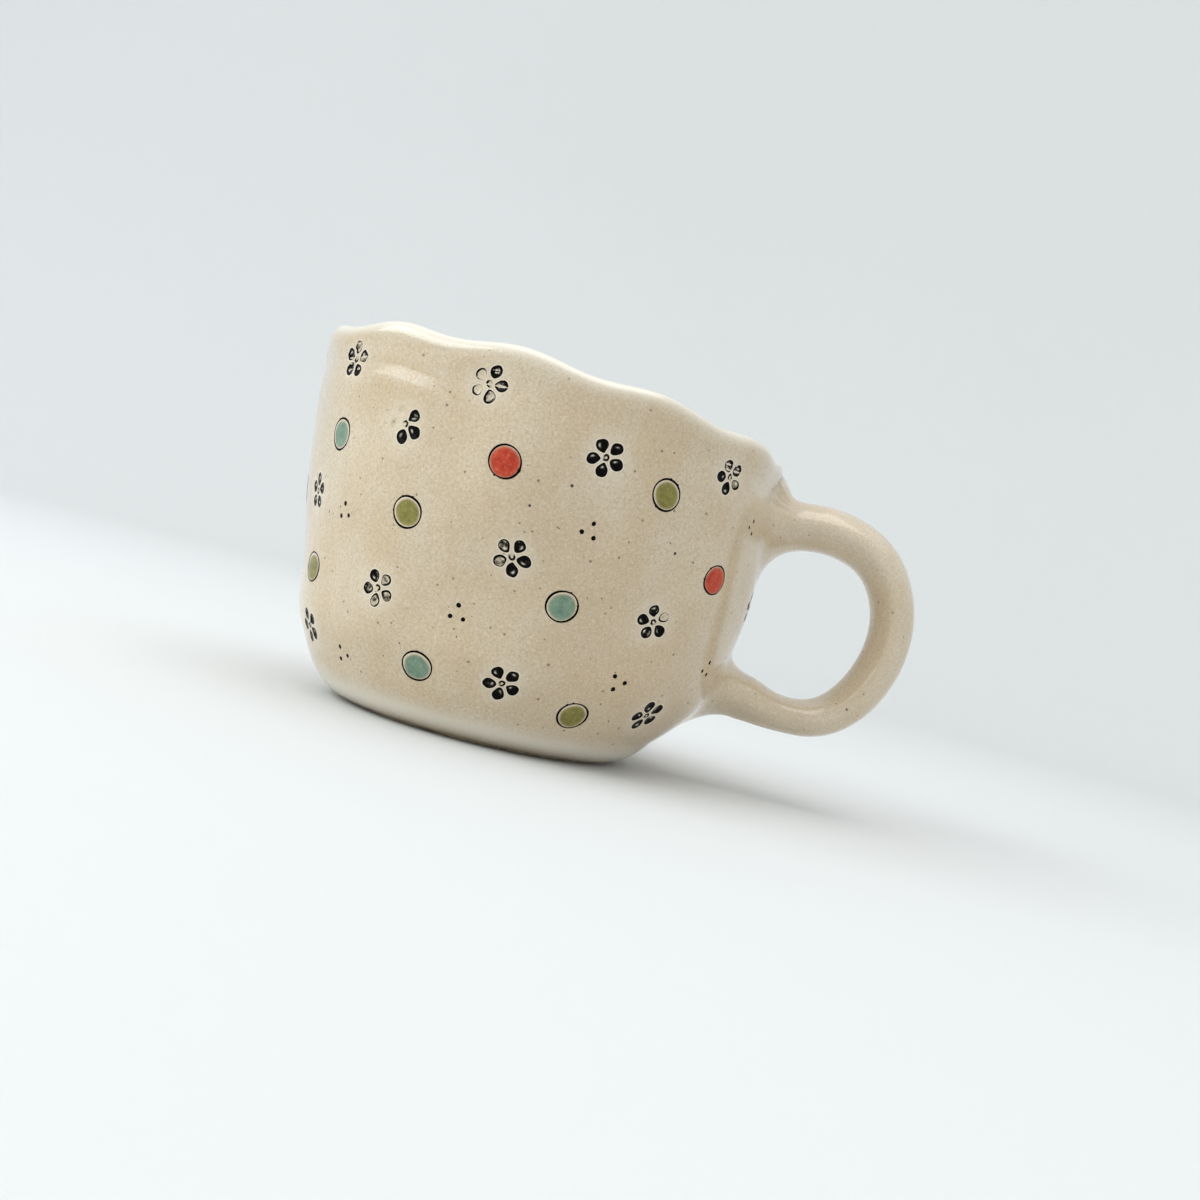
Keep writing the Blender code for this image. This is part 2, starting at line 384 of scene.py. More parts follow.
CREAM = (0.588, 0.463, 0.302)
CREAM_DEEP = (0.50, 0.368, 0.218)
CREAM_PALE = (0.635, 0.528, 0.378)
CREAM_COOL = (0.635, 0.545, 0.415)
# Pale of the glaze, for pale flecks and disc grounds; it also serves as the painted highlight on the
# lip, the foot's turn, round the stamps and on the petals.
PALE_AND_HIGHLIGHT = (0.86, 0.81, 0.70)
IRON = (0.035, 0.026, 0.020)
IRON_BROWN = (0.16, 0.10, 0.06)
# Each underglaze colour as it is brushed on, where it lies thick, and where it lies thin.
PAINTS = {
    "red": ((0.53, 0.062, 0.026), (0.40, 0.036, 0.016), (0.70, 0.19, 0.11)),
    "green": ((0.250, 0.220, 0.062), (0.180, 0.160, 0.040), (0.39, 0.36, 0.16)),
    "blue": ((0.195, 0.290, 0.205), (0.140, 0.222, 0.165), (0.34, 0.43, 0.33)),
}


def glaze(tree, position):
    """The cream glaze's colour: clouds, fine grain, crackle and iron specks."""
    clouds = noise(tree, position, 70.0, 3.0, 0.55)
    colour = mix(tree, ramp(tree, clouds, 0.36, 0.66), CREAM, CREAM_PALE)
    drawn = node(tree, "ShaderNodeMapping")
    drawn.inputs["Scale"].default_value = (1.0, 1.0, 0.30)
    tree.links.new(position, drawn.inputs["Vector"])
    streaks = noise(tree, drawn.outputs["Vector"], 120.0, 3.0, 0.5)
    colour = mix(tree, ramp(tree, streaks, 0.50, 0.68, 0.0, 0.45), colour, CREAM_COOL)
    low = noise(tree, position, 38.0, 2.0)
    colour = mix(tree, ramp(tree, low, 0.45, 0.75, 0.0, 0.55), colour, CREAM_DEEP)
    grain = noise(tree, position, 1900.0, 4.0, 0.65)
    colour = mix(tree, ramp(tree, grain, 0.44, 0.64, 0.0, 0.60), colour, CREAM_DEEP)
    fleck = noise(tree, position, 2300.0, 2.0, 0.6)
    colour = mix(tree, ramp(tree, fleck, 0.50, 0.70, 0.0, 0.22), colour, PALE_AND_HIGHLIGHT)
    crack = node(tree, "ShaderNodeTexVoronoi", feature="DISTANCE_TO_EDGE")
    crack.inputs["Scale"].default_value = 900.0
    tree.links.new(position, crack.inputs["Vector"])
    line = ramp(tree, crack.outputs["Distance"], 0.0, 0.10, 0.10, 0.0)
    colour = mix(tree, line, colour, IRON_BROWN)
    fine = specks(tree, position, 800.0, 0.14, 0.06, 0.24)
    colour = mix(tree, maths(tree, "MULTIPLY", fine, 0.75), colour, IRON_BROWN)
    dark = specks(tree, position, 330.0, 0.055, 0.03, 0.12)
    colour = mix(tree, dark, colour, IRON)
    # the pale attribute mixes in pale glaze and painted highlight on the lip, the foot's turn and round
    # the stamps
    pale = maths(tree, "MULTIPLY", attribute(tree, "pale"), 0.92)
    return mix(tree, pale, colour, PALE_AND_HIGHLIGHT), grain


def make_glaze(name):
    material, tree, shader, position = new_material(name, 0.17)
    colour, grain = glaze(tree, position)
    tree.links.new(colour, shader.inputs["Base Color"])
    peel = noise(tree, position, 260.0, 2.0)
    height = maths(tree, "ADD", maths(tree, "MULTIPLY", grain, 0.25), peel)
    bumped(tree, shader, height, 0.22, 0.00025)
    return material


def make_bare_clay():
    material, tree, shader, position = new_material("bare_clay", 0.88, 0.3)
    body = noise(tree, position, 300.0, 4.0, 0.6)
    colour = mix(tree, ramp(tree, body, 0.3, 0.7), (0.42, 0.32, 0.22), (0.56, 0.45, 0.33))
    grog = specks(tree, position, 480.0, 0.25, 0.12, 0.32)
    colour = mix(tree, maths(tree, "MULTIPLY", grog, 0.6), colour, (0.18, 0.12, 0.08))
    tree.links.new(colour, shader.inputs["Base Color"])
    bumped(tree, shader, noise(tree, position, 1800.0, 4.0, 0.7), 0.5, 0.0003)
    return material


def make_ink(name="black_pigment"):
    """Black pigment under the glaze: solid where ink is 1, a grey wash where it is low."""
    material, tree, shader, position = new_material(name, 0.12, 0.05, 0.0)
    ground, grain = glaze(tree, position)
    patch = noise(tree, position, 1300.0, 3.0, 0.6)
    uneven = ramp(tree, patch, 0.3, 0.7, -0.5, 0.5)
    broken = maths(tree, "MULTIPLY", uneven, attribute(tree, "wash"))
    ink = maths(tree, "ADD", attribute(tree, "ink"), broken)
    wash = mix(tree, ramp(tree, ink, 0.0, 0.55, 0.0, 0.62), ground, (0.13, 0.115, 0.085))
    colour = mix(tree, ramp(tree, ink, 0.28, 0.68), wash, (0.0030, 0.0024, 0.0020))
    # painted highlight: a pale rim round each petal and glints inside it
    colour = mix(tree, attribute(tree, "halo"), colour, PALE_AND_HIGHLIGHT)
    tree.links.new(colour, shader.inputs["Base Color"])
    bumped(tree, shader, grain, 0.15, 0.0002)
    return material


def make_paint(name, colour, deep, pale):
    """Underglaze colour brushed on: streaky, and thin towards its edge."""
    material, tree, shader, position = new_material(name, 0.12, 0.16, 0.05)
    ground, grain = glaze(tree, position)
    streak = noise(tree, position, 700.0, 3.0, 0.6)
    tone = mix(tree, ramp(tree, streak, 0.35, 0.68), colour, deep)
    spot = noise(tree, position, 1700.0, 2.0, 0.6)
    tone = mix(tree, ramp(tree, spot, 0.55, 0.75, 0.0, 0.5), tone, pale)
    cover = attribute(tree, "cover")
    tone = mix(tree, cover, ground, tone)
    tree.links.new(tone, shader.inputs["Base Color"])
    bumped(tree, shader, grain, 0.15, 0.0002)
    return material


def make_plain(name, colour, roughness):
    material, tree, shader, position = new_material(name, roughness, 0.2)
    soft = noise(tree, position, 3.0, 2.0)
    tone = mix(tree, ramp(tree, soft, 0.3, 0.7, 0.0, 0.25), colour, tuple(c * 0.97 for c in colour))
    tree.links.new(tone, shader.inputs["Base Color"])
    return material


# --- the pattern ------------------------------------------------------------

# Azimuth from the front in degrees, nominal height in millimetres, turn of the stamp in
# degrees, and how much pigment each of its five petals holds.
FLOWERS = [
    (-54, 62.5, -8, (0.6, 0.65, 0.9, 0.95, 0.9)),
    (-15.5, 62, -21, (1.0, 0.8, 0.62, 0.34, 0.32)),
    (-33, 52.5, -42, (0.8, 0.95, 1.0, 0.12, 0.0)),
    (13, 56, -39, (1.0, 1.0, 1.0, 0.95, 1.0)),
    (46, 60.5, 25, (0.75, 0.8, 0.7, 0.9, 0.95)),
    (-66, 38, 0, (0.8, 0.9, 0.8, 0.85, 0.9)),
    (-1.5, 35, -22, (0.85, 0.92, 0.95, 0.64, 0.70)),
    (-33.5, 23.7, -41, (0.60, 0.64, 0.62, 0.72, 0.82)),
    (38, 30.5, -53, (0.4, 1.0, 0.8, 0.95, 0.80)),
    (-64.5, 13, 20, (0.8, 0.9, 0.95, 0.85, 0.8)),
    (4, 13, -39, (0.95, 0.95, 1.0, 0.9, 1.0)),
    (49.5, 12.8, 30, (0.9, 0.95, 0.95, 1.0, 0.95)),
    (80, 38, 10, (0.8, 0.7, 0.7, 0.8, 0.7)),
]
DISCS = [
    (-55, 49, "blue"),
    (-8, 50, "red"),
    (-28.4, 38, "green"),
    (29.5, 53, "green"),
    (-64, 24, "green"),
    (13, 29, "blue"),
    (51.4, 41, "red"),
    (-19.5, 12, "blue"),
    (26.2, 10, "green"),
]
# Azimuth, height and turn of each group of three pin dots.
DOTS = [
    (-49, 35.3, 95),
    (14.2, 43, 72),
    (-11.2, 23, 90),
    (64, 53.4, 76),
    (-46, 10, 115),
    (34, 18, 127),
    (63.5, 24, 80),
]
REPEAT = 150  # the same scatter goes on round the back, this many degrees further
BACK_END = 277
DISC_COLOURS = ("green", "blue", "red")
MOTIF_SPACE = 9.0 * MM
OCCUPIED = [motif[:2] for motif in (*FLOWERS, *DISCS, *DOTS)]

FLOWER_RADIUS = 2.24 * MM  # centre of the stamp to the centre of a petal
PETAL_LENGTH, PETAL_WIDTH = 2.45 * MM, 1.95 * MM
EYE_RADIUS = 0.62 * MM
RING_RADIUS = 2.90 * MM
RING_LINE = 0.36 * MM
DOT_RADIUS = 0.45 * MM
DOT_SPREAD = 1.45 * MM
FLECKS = 90


def near_handle(azimuth, height):
    """True where the clay of a handle root covers the wall."""
    across = (azimuth - 90) / 57.3 * wall_radius(height * MM) / MM
    for root_z, clear in ((UPPER_ROOT[1] / MM, 15), (LOWER_ROOT[1] / MM, 13)):
        if math.hypot(across, height - root_z) < clear:
            return True
    return False


def crowded(azimuth, height):
    """True where another motif already lies too near."""
    for other_azimuth, other_height in OCCUPIED:
        turn = (azimuth - other_azimuth + 180) % 360 - 180
        across = math.radians(turn) * wall_radius(height * MM) / MM
        if math.hypot(across, height - other_height) < MOTIF_SPACE / MM:
            return True
    return False


def scattered(motifs):
    """The front's motifs, and the same scatter carried on round the back with small changes."""
    placed = [(m, 0) for m in motifs]
    for turn in (1, 2):
        for m in motifs:
            azimuth, height = m[0] + REPEAT * turn + rng.uniform(-2, 2), m[1] + rng.uniform(-1, 1)
            if azimuth > BACK_END or near_handle(azimuth, height) or crowded(azimuth, height):
                continue
            placed.append(((azimuth, height, *m[2:]), turn))
            OCCUPIED.append((azimuth, height))
    return placed


def local(azimuth, height, u, v):
    """(theta, s) of points u to the right and v up from a motif's centre, seen from outside."""
    theta = FRONT + math.radians(azimuth)
    s = length_at(height * MM)
    radius = float(np.hypot(*smooth_point(np.array([theta]), np.array([s]))[0][:2]))
    return theta + np.asarray(u) / radius, s + np.asarray(v)


def petal_centres(turn):
    for k in range(5):
        angle = math.radians(90 + turn) - TAU * k / 5
        yield angle, FLOWER_RADIUS * math.cos(angle), FLOWER_RADIUS * math.sin(angle)


class Patches:
    """Small patches that lie on the outside: closed outlines from their centres outwards."""

    def __init__(self, azimuth, height):
        self.place = (azimuth, height)
        self.points, self.faces, self.pale = [], [], []

    def add(self, rings, lifts, open_centre=False):
        sides = len(rings[0][0])
        offset = len(self.points)
        for (u, v), lift in zip(rings, lifts):
            theta, s = local(*self.place, u, v)
            self.points += outside_point(theta, s, lift).tolist()
            self.pale += pale_at(theta, s).tolist()
        self.faces += grid_faces(len(rings), sides, offset, flip=True)
        if not open_centre:
            self.faces.append([offset + j for j in range(sides)])

    def piece(self, name, material, **attributes):
        obj = add_piece(name, self.points, self.faces, material)
        set_attribute(obj, "pale", self.pale)
        for key, values in attributes.items():
            set_attribute(obj, key, values)


def petal_outline(angle, u0, v0, scale, wobble):
    """A rounded drop, blunter on its outer end."""
    t = np.linspace(0, TAU, len(wobble), endpoint=False)
    along = np.cos(t) * PETAL_LENGTH / 2
    narrow = 1 + 0.22 * np.cos(t) - 0.10 * np.cos(2 * t)
    across = np.sin(t) * PETAL_WIDTH / 2 * narrow
    along, across = along * wobble * scale, across * wobble * scale
    u = u0 + along * math.cos(angle) - across * math.sin(angle)
    v = v0 + along * math.sin(angle) + across * math.cos(angle)
    return u, v


def wobble_of(sides, height):
    t = np.linspace(0, TAU, sides, endpoint=False)
    total = np.ones(sides)
    for k in (2, 3, 5):
        total += height * rng.uniform(-1, 1) * np.sin(k * t + rng.uniform(0, TAU)) / math.sqrt(k)
    return total


def add_flower(name, azimuth, height, turn, inks, material):
    """Five stamped petals: each a dark ring of uneven width round a grey or pale middle, with a painted
    highlight: a pale rim round each petal and a glint inside it.
    """
    flower = Patches(azimuth, height)
    ink, wash, halo = [], [], []
    sides = 28
    t = np.linspace(0, TAU, sides, endpoint=False)
    scales = (0.02, 0.2, 0.36, 0.48, 0.58, 0.67, 0.76, 0.85, 0.93, 0.99, 1.04, 1.12, 1.24)
    for (angle, u0, v0), strength in zip(petal_centres(turn), inks):
        wobble = wobble_of(sides, 0.08)
        size = (0.84 + 0.20 * strength) * rng.uniform(0.95, 1.06)
        rings = [petal_outline(angle, u0, v0, k * size, wobble) for k in scales]
        flower.add(rings, [0.035 * MM] * (len(scales) - 1) + [-0.02 * MM])
        heavy = 0.5 + 0.5 * np.cos(t - rng.uniform(0, TAU))
        width = 0.15 + 0.46 * heavy * max(strength, 0.5)
        middle = np.clip(strength * 1.5 - 0.55, 0.0, 0.95)
        glint_at = rng.uniform(0, TAU)
        for k in scales:
            edge = np.clip((k - 1 + width) / 0.10, 0.0, 1.0)
            edge *= np.clip(1.3 * strength - 0.15 + 0.8 * heavy * min(1.0, 2.2 * strength), 0.0, 1.0)
            # a painted glint: it lightens the pigment and adds painted highlight
            glint = np.exp(-(((k - 0.42) / 0.13) ** 2)) * np.clip(np.cos(t - glint_at), 0, 1) ** 4
            on = float(k < 1.0)
            ink += (np.maximum(middle * (1 - 0.8 * glint), edge) * on).tolist()
            wash += [(0.34 * (k < 0.8) + 0.12) * on] * sides
            # painted highlight: a pale rim just outside each petal
            ring = 0.42 * min(1.0, 2 * strength) if 1.0 < k < 1.2 else 0.0
            halo += (ring + 0.45 * glint * (1 - edge) * on).tolist()
    eye_ink = float(np.mean(inks))
    wobble = EYE_RADIUS * wobble_of(sides, 0.16)
    scales = (0.30, 0.50, 0.72, 0.92, 1.05)
    rings = [(wobble * k * np.cos(t), wobble * k * np.sin(t)) for k in scales]
    flower.add(rings, np.array((-0.02, 0.03, 0.035, 0.03, -0.02)) * MM, open_centre=True)
    broken = np.clip(0.2 + 0.9 * eye_ink + 0.7 * np.cos(t - rng.uniform(0, TAU)), 0.0, 1.0)
    for k in scales:
        ink += (np.clip(eye_ink * 1.5 - 0.15, 0.1, 1.0) * broken).tolist()
        wash += [0.5] * sides
        halo += [0.0] * sides
    flower.piece(name, material, ink=ink, wash=wash, halo=halo)


def add_disc(name, azimuth, height, colour, paints, ground, line):
    """A painted disc: a pale ground, the colour a little small and off centre, a drawn ring."""
    sides = 64
    t = np.linspace(0, TAU, sides, endpoint=False)
    cos, sin = np.cos(t), 0.96 * np.sin(t)
    ring = RING_RADIUS * wobble_of(sides, 0.014) * rng.uniform(0.98, 1.02)

    under = Patches(azimuth, height)
    under.add([(ring * k * cos, ring * k * sin) for k in (0.02, 0.35, 0.7, 1.0)], [0.012 * MM] * 4)
    under.piece(f"{name}_ground", ground)

    spill = 1.06 if colour == "red" else 0.94
    off_u, off_v = rng.uniform(0.0, 0.16) * MM, -rng.uniform(0.06, 0.20) * MM
    reach = np.minimum(ring * spill * 0.94 * wobble_of(sides, 0.03), ring * 1.03)
    scales = (0.02, 0.3, 0.6, 0.78, 0.88, 0.95, 1.0)
    covers = (1.0, 1.0, 1.0, 0.97, 0.86, 0.52, 0.0)
    fill = Patches(azimuth, height)
    fill.add(
        [(off_u + reach * k * cos, off_v + reach * k * sin) for k in scales],
        [0.024 * MM] * len(scales),
    )
    fill.piece(f"{name}_paint", paints[colour], cover=np.repeat(covers, sides))

    drawn = Patches(azimuth, height)
    width = RING_LINE * (1 + 0.25 * np.sin(2 * t + rng.uniform(0, TAU)))
    across = (-0.55, -0.3, 0.0, 0.3, 0.55)
    drawn.add(
        [((ring + width * k) * cos, (ring + width * k) * sin) for k in across],
        np.array((0.0, 0.038, 0.048, 0.038, 0.0)) * MM,
        open_centre=True,
    )
    for _ in range(rng.integers(1, 4)):
        at = rng.uniform(0, TAU)
        u0, v0 = np.interp(at, t, ring) * math.cos(at), np.interp(at, t, ring) * math.sin(at)
        blot = rng.uniform(0.20, 0.34) * MM
        drawn.add(
            [(u0 + blot * k * cos, v0 + blot * k * sin) for k in (0.02, 0.7, 1.0)],
            np.array((0.055, 0.055, 0.0)) * MM,
        )
    count = len(drawn.points)
    drawn.piece(f"{name}_ring", line, ink=np.ones(count), wash=np.full(count, 0.25))


def add_dots(name, azimuth, height, turn, line):
    sides = 20
    t = np.linspace(0, TAU, sides, endpoint=False)
    dots = Patches(azimuth, height)
    for k in range(3):
        angle = math.radians(turn) + TAU * k / 3 + rng.uniform(-0.12, 0.12)
        u0, v0 = DOT_SPREAD * math.cos(angle), DOT_SPREAD * math.sin(angle)
        size = DOT_RADIUS * wobble_of(sides, 0.07) * rng.uniform(0.9, 1.08)
        rings = [(u0 + size * q * np.cos(t), v0 + size * q * np.sin(t)) for q in (0.02, 0.5, 0.85, 1.0)]
        dots.add(rings, np.array((0.03, 0.03, 0.03, -0.01)) * MM)
    count = len(dots.points)
    dots.piece(name, line, ink=np.full(count, 0.95), wash=np.full(count, 0.3))


def add_flecks(line):
    """Stray hairs and crumbs of pigment caught in the glaze."""
    sides = 10
    t = np.linspace(0, TAU, sides, endpoint=False)
    flecks = Patches(0, 40)
    while len(flecks.points) < FLECKS * 3 * sides:
        azimuth, height = rng.uniform(-180, 180), rng.uniform(0.1, 0.97) * RIM_HEIGHT / MM
        if near_handle(azimuth % 360, height):
            continue
        flecks.place = (azimuth, height)
        lean = rng.uniform(0, math.pi)
        thin = rng.uniform(0.05, 0.09) * MM
        long = thin * rng.choice((1.0, 1.4, 2.5, 6.0), p=(0.45, 0.25, 0.2, 0.1))
        u, v = long * np.cos(t), thin * np.sin(t)
        u, v = u * math.cos(lean) - v * math.sin(lean), u * math.sin(lean) + v * math.cos(lean)
        flecks.add([(u * k, v * k) for k in (0.02, 0.7, 1.0)], np.array((0.03, 0.03, 0.0)) * MM)
    count = len(flecks.points)
    strength = np.repeat(rng.uniform(0.45, 1.0, FLECKS), 3 * sides)
    flecks.piece("iron_flecks", line, ink=strength, wash=np.full(count, 0.3))


# --- the body ---------------------------------------------------------------


def add_outside(material):
    columns, rows = 590, 168
    theta = np.linspace(0, TAU, columns, endpoint=False)[None, :]
    s = np.linspace(0.0, MARK["lip_inside"], rows)[:, None]
    theta_all, s_all = np.broadcast_arrays(theta, s)
    points = outside_point(theta_all, s_all)
    outside = add_piece(
        "body_outside",
        points.reshape(-1, 3).tolist(),
        grid_faces(rows, columns),
        material,
        replaces=("wall",),
    )
    set_attribute(outside, "pale", pale_at(theta_all, s_all))


def add_inside(material):
    columns, rows = 240, 110
    theta = np.linspace(0, TAU, columns, endpoint=False)[None, :]
    s = np.linspace(MARK["lip_inside"], MARK["end"] - 0.05 * MM, rows)[:, None]
    theta_all, s_all = np.broadcast_arrays(theta, s)
    points = smooth_point(theta_all, s_all).reshape(-1, 3).tolist()
    faces = grid_faces(rows, columns) + [[(rows - 1) * columns + j for j in range(columns)]]
    inside = add_piece(
        "body_inside", points, faces, material, replaces=("seam_coil",)
    )
    set_attribute(inside, "pale", pale_at(theta_all, s_all))


def add_foot(material):
    """The bare underside, slightly uneven where the glaze ends."""
    columns = 200
    scales = np.array([0.0, 0.25, 0.5, 0.75, 0.9, 0.98, 1.0, 1.005])
    heights = np.array([0.0, 0.0, 0.0, 0.0, 0.0, 0.0, 0.12, 0.45]) * MM
    theta = np.linspace(0, TAU, columns, endpoint=False)
    wave = 1 + 0.008 * np.sin(3 * theta) + 0.004 * np.sin(11 * theta + 1)
    points = []
    for scale, height in zip(scales, heights):
        r = (GLAZE_EDGE + 0.6 * MM) * max(scale, 0.004) * wave
        ring = [r * np.cos(theta), r * np.sin(theta), np.full(columns, height)]
        points += np.stack(ring, -1).tolist()
    faces = grid_faces(len(scales), columns)
    faces.append(list(range(columns)))
    add_piece("foot_clay", points, faces, material, replaces=("base",))


# --- the handle -------------------------------------------------------------


def handle_route():
    """The handle's line in the XZ plane, from its upper root to its lower, with its size factor."""
    (ux, uz), (lx, lz) = UPPER_ROOT, LOWER_ROOT
    rows = [
        (ux - 3.0 * MM, uz - 0.6 * MM, 1.06),
        (ux + 5.0 * MM, uz + 0.6 * MM, 1.04),
        (ux + 15.0 * MM, uz + 2.0 * MM, 1.02),
        (ux + 25.0 * MM, uz - 1.2 * MM, 1.00),
        (ux + 30.8 * MM, uz - 9.8 * MM, 0.98),
        (ux + 31.8 * MM, uz - 20.0 * MM, 0.96),
        (ux + 28.2 * MM, uz - 30.2 * MM, 0.94),
        (ux + 21.5 * MM, uz - 36.8 * MM, 0.86),
        (lx + 14.0 * MM, lz - 2.2 * MM, 0.79),
        (lx + 6.0 * MM, lz - 0.2 * MM, 1.08),
        (lx - 4.0 * MM, lz + 1.0 * MM, 1.24),
    ]
    return np.array(rows)


def spline(corners, count):
    """A quadratic B-spline guided by the corners, its ends held, as evenly spaced points."""
    curve = []
    last = len(corners) - 2
    for i in range(last):
        a = corners[i] if i == 0 else (corners[i] + corners[i + 1]) / 2
        b = corners[i + 1]
        c = corners[i + 2] if i == last - 1 else (corners[i + 1] + corners[i + 2]) / 2
        for t in np.linspace(0, 1, 30, endpoint=i == last - 1):
            curve.append((1 - t) ** 2 * a + 2 * t * (1 - t) * b + t * t * c)
    curve = np.array(curve)
    s = np.concatenate([[0], np.cumsum(np.hypot(*np.diff(curve[:, :2], axis=0).T))])
    even = np.linspace(0, s[-1], count)
    return np.stack([np.interp(even, s, curve[:, k]) for k in range(curve.shape[1])], -1)


def wall_at(y, z):
    """The wall's point at the handle side with this y and z, its outward normal and paleness."""
    theta = np.arcsin(np.clip(y / RIM_RADIUS, -1, 1))
    s = length_at(np.clip(z, 0.5 * MM, RIM_HEIGHT))
    for _ in range(12):
        p = smooth_point(theta, s)
        theta = theta + (y - p[..., 1]) / np.hypot(p[..., 0], p[..., 1])
        s = np.clip(s + (z - p[..., 2]), 1 * MM, MARK["outside"] + 1.5 * MM)
    return smooth_point(theta, s), normals_at(theta, s), pale_at(theta, s)


def soft_step(t):
    t = min(max(t, 0.0), 1.0)
    return t * t * (3 - 2 * t)


def root_rows(start, direction, centre_z, fillet, tab=0.0):
    """Rows of points from the arm's first ring down onto the wall, the last tangent to it."""
    count = len(start)
    phi = np.linspace(0, TAU, count, endpoint=False)
    top, side, below = fillet
    up = np.maximum(np.cos(phi), 0) ** 2
    down = np.maximum(-np.cos(phi), 0) ** 2
    spread = top * up + below * down + side * (1 - up - down)
    corner = start.copy()
    for _ in range(6):
        hit, _normal, _pale = wall_at(corner[:, 1], corner[:, 2])
        far = (start[:, 0] - hit[:, 0]) / direction[0]
        corner = start - direction * far[:, None]
    out = np.stack([corner[:, 1], corner[:, 2] - centre_z], -1)
    out /= np.linalg.norm(out, axis=1, keepdims=True)
    foot_y = corner[:, 1] + out[:, 0] * spread
    foot_z = corner[:, 2] + out[:, 1] * spread
    foot, normal, foot_pale = wall_at(foot_y, foot_z)
    corner_on, _normal, _pale = wall_at(corner[:, 1], corner[:, 2])
    foot = foot - normal * 0.04 * MM
    along = corner_on - foot
    along -= normal * np.sum(along * normal, axis=1, keepdims=True)
    a = start + (corner_on - start) * 0.62
    b = foot + along * 0.66
    rows, pales = [], []
    for t in np.linspace(0, 1, FILLET_STEPS + 1)[1:]:
        share = soft_step((t - 0.1) / 0.75)
        pales.append(HANDLE_PALE * (1 - share) + foot_pale * share)
        row = (
            (1 - t) ** 3 * start
            + 3 * t * (1 - t) ** 2 * a
            + 3 * t * t * (1 - t) * b
            + t**3 * foot
        )
        lump = tab * np.clip(np.cos(phi) * 2.2 - 1.1, 0, 1)
        swell = soft_step((t - 0.25) / 0.4) * (1 - soft_step((t - 0.72) / 0.28))
        rows.append(row + normal * (lump * swell)[:, None])
    return rows, normal, pales


def arm_rings(sides):
    """The handle's rings from one root to the other, and its directions at the two ends."""
    phi = np.linspace(0, TAU, sides, endpoint=False)
    route = spline(handle_route(), 150)
    upper_end = np.argmax(route[:, 0] > UPPER_ROOT[0] + UPPER_REACH)
    lower_end = len(route) - 1 - np.argmax(route[::-1, 0] > LOWER_ROOT[0] + LOWER_REACH)
    tangent = np.gradient(route[:, :2], axis=0)
    tangent /= np.linalg.norm(tangent, axis=1, keepdims=True)
    rings = []
    for i in range(upper_end, lower_end + 1):
        x, z, size = route[i]
        along = Vector((tangent[i, 0], 0, tangent[i, 1]))
        outer = Vector((-along.z, 0, along.x))  # square to the line, on the loop's outside
        thick = HANDLE_THICKNESS / 2 * size
        wide = HANDLE_WIDTH / 2 * size
        soften = 1 + 0.05 * np.cos(2 * phi) ** 2
        pull = 0.10 * MM * np.sin(i * 0.09 + 2 * phi) + 0.06 * MM * np.sin(i * 0.05 + 5 * phi + 1)
        ring = (
            np.array([x, 0, z])
            + np.outer(np.cos(phi) * (thick * soften + pull), np.array(outer))
            + np.outer(np.sin(phi) * (wide * soften + pull), np.array((0, 1, 0)))
        )
        rings.append(ring)
    first = np.array([tangent[upper_end, 0], 0, tangent[upper_end, 1]])
    last = -np.array([tangent[lower_end, 0], 0, tangent[lower_end, 1]])
    return rings, first, last


def add_handle(material):
    sides = 72
    rings, first, last = arm_rings(sides)
    upper, upper_normals, upper_pales = root_rows(
        rings[0], first, UPPER_ROOT[1], UPPER_FILLET, tab=TAB_HEIGHT
    )
    flipped = np.roll(rings[-1][::-1], 1, axis=0)
    turned = np.roll(flipped, sides // 2, axis=0)
    lower, lower_normals, lower_pales = root_rows(turned, last, LOWER_ROOT[1], LOWER_FILLET)

    def back(row):
        return np.roll(np.roll(row, -(sides // 2), axis=0)[::-1], 1, axis=0)

    lower = [back(row) for row in lower]
    rows = list(reversed(upper)) + rings + lower
    points = np.concatenate(rows)
    faces = grid_faces(len(rows), sides, flip=True)
    handle = add_piece(
        "handle_glazed",
        points.tolist(),
        faces,
        material,
        replaces=("handle", "root_upper", "root_lower"),
    )
    pales = np.full((len(rows), sides), HANDLE_PALE)
    pales[: len(upper)] = upper_pales[::-1]
    pales[-len(lower) :] = [back(row) for row in lower_pales]
    set_attribute(handle, "pale", pales)
    normals = np.zeros(len(points) * 3, np.float32)
    handle.data.vertex_normals.foreach_get("vector", normals)
    normals = normals.reshape(len(rows), sides, 3)
    for i in range(BLEND_ROWS):
        share = soft_step((BLEND_ROWS - i) / BLEND_ROWS)
        normals[i] += (upper_normals - normals[i]) * share
        normals[-1 - i] += (back(lower_normals) - normals[-1 - i]) * share
    normals /= np.linalg.norm(normals, axis=-1, keepdims=True)
    handle.data.normals_split_custom_set_from_vertices(normals.reshape(-1, 3).tolist())


# --- stage ------------------------------------------------------------------

CAMERA_DISTANCE = 307 * MM
CAMERA_DIP = math.radians(1.3)  # the camera is a little below what it looks at
CAMERA_ROLL = math.radians(14.6)
CAMERA_TARGET = 41.8 * MM
AIM_RIGHT, AIM_DOWN = 15.1 * MM, 14.7 * MM
LENS = 45.0

COVE_RADIUS, COVE_BEND, COVE_HEIGHT = 1.0, 0.4, 0.9
COVE_STRETCH = 1.7  # how much further the wall stands on the window's side
PAPER = (0.73, 0.74, 0.732)
# Place, size, watts and colour of each soft lamp.
LAMPS = {
    "window": ((-0.78, -0.20, 0.46), (0.85, 0.62), 5.1, (0.89, 0.96, 1.0)),
    "overhead": ((0.05, -0.12, 1.0), (0.8, 0.8), 3.2, (1.0, 0.975, 0.94)),
}
LIT_POINT = Vector((0, 0, 0.04))
ROOM_COLOUR, ROOM_STRENGTH = (0.93, 0.96, 1.0, 1.0), 0.86


